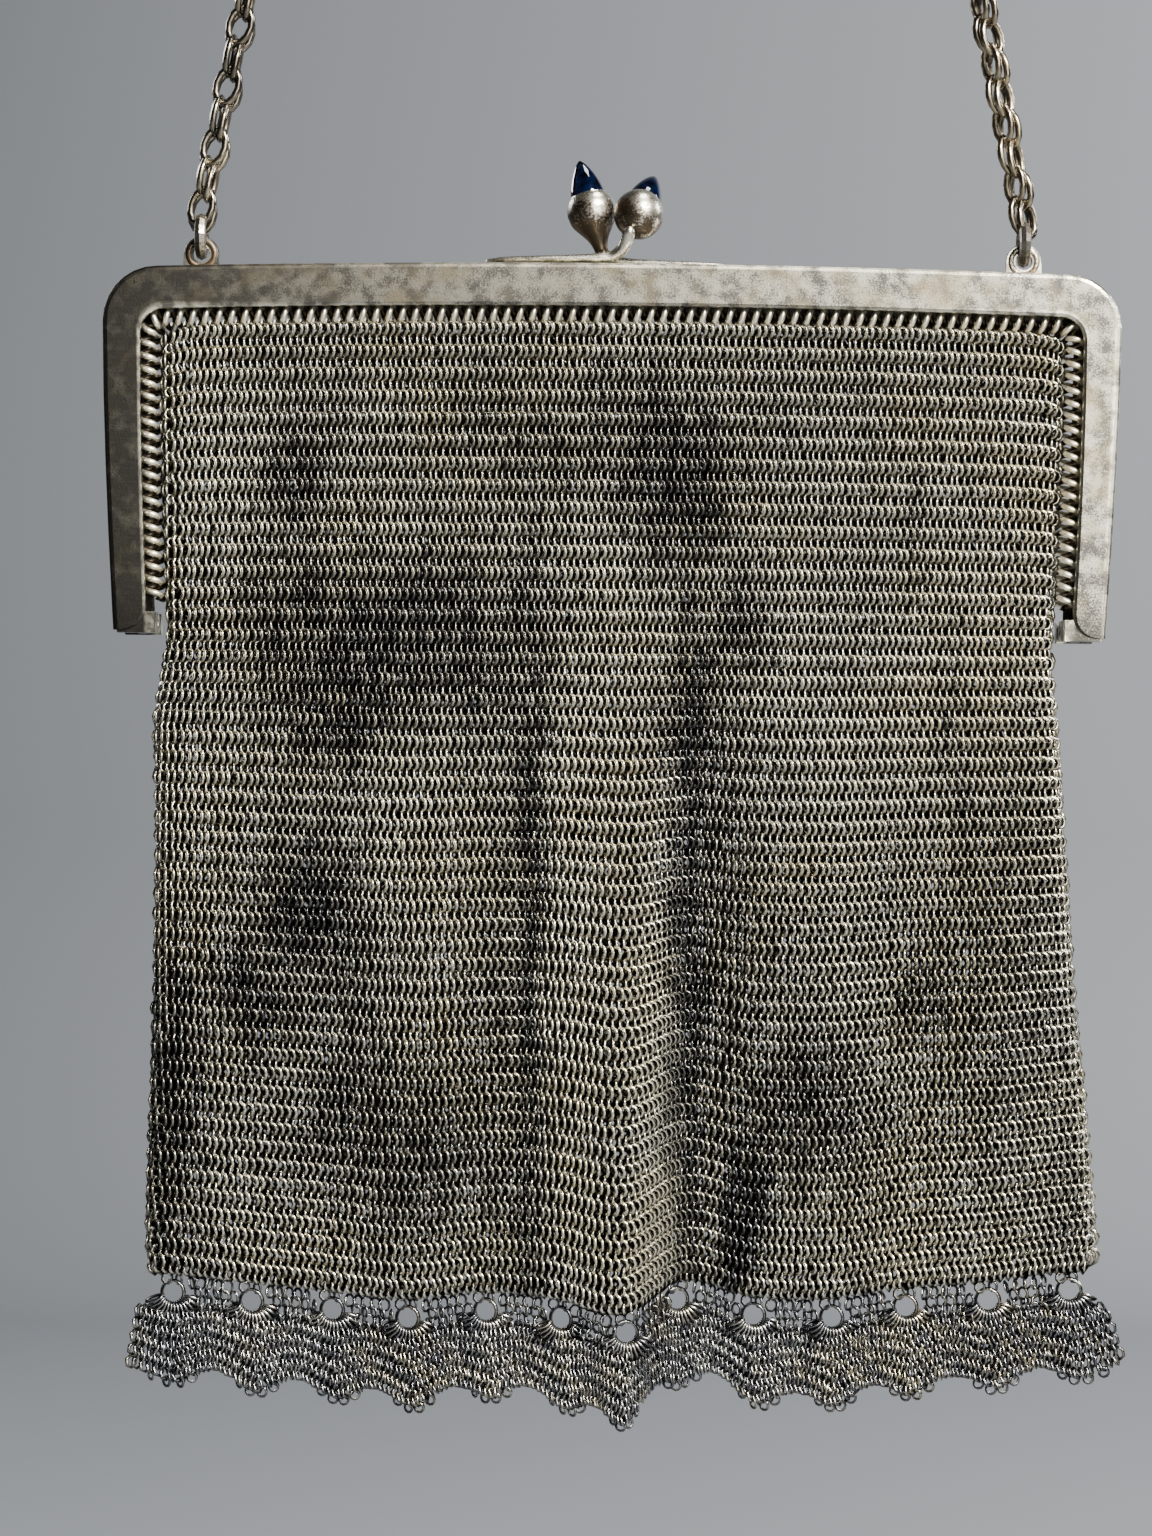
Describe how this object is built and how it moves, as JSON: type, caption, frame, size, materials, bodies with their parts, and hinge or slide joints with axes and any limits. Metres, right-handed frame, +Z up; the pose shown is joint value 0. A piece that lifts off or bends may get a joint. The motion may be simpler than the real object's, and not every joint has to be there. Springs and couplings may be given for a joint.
{
  "type": "metal mesh purse",
  "caption": "Metal ring-mesh purse with a hinged U-shaped frame, kiss clasp with blue stones, double-link chain handle and scalloped ring fringe.",
  "frame": {"origin": "underside of the top of the chain handle's loop, where the purse hangs", "axes": "+Z up along the hanging purse, +X to the right seen from the front, -Y towards the front"},
  "size_m": [0.1519, 0.0193, 0.3326],
  "materials": {
    "frame_silver": "tarnished silver, satin with scratches",
    "clasp_silver": "tarnished silver, rubbed bright on the balls",
    "chain_silver": "dark tarnished silver",
    "mesh_silver": "yellowed silver rings with dark tarnish between them",
    "blue_stone": "polished dark blue"
  },
  "bodies": {
    "root": {"front_jaw": "frame_silver", "back_jaw": "frame_silver", "left_hinge_pin": "frame_silver", "right_hinge_pin": "frame_silver", "front_clasp": "clasp_silver", "back_clasp": "clasp_silver", "front_stone": "blue_stone", "back_stone": "blue_stone", "left_jump_ring": "chain_silver", "right_jump_ring": "chain_silver", "chain": "chain_silver", "front_lacing": "mesh_silver", "back_lacing": "mesh_silver", "mesh_bag": "mesh_silver", "fringe": "mesh_silver"}
  },
  "joints": []
}
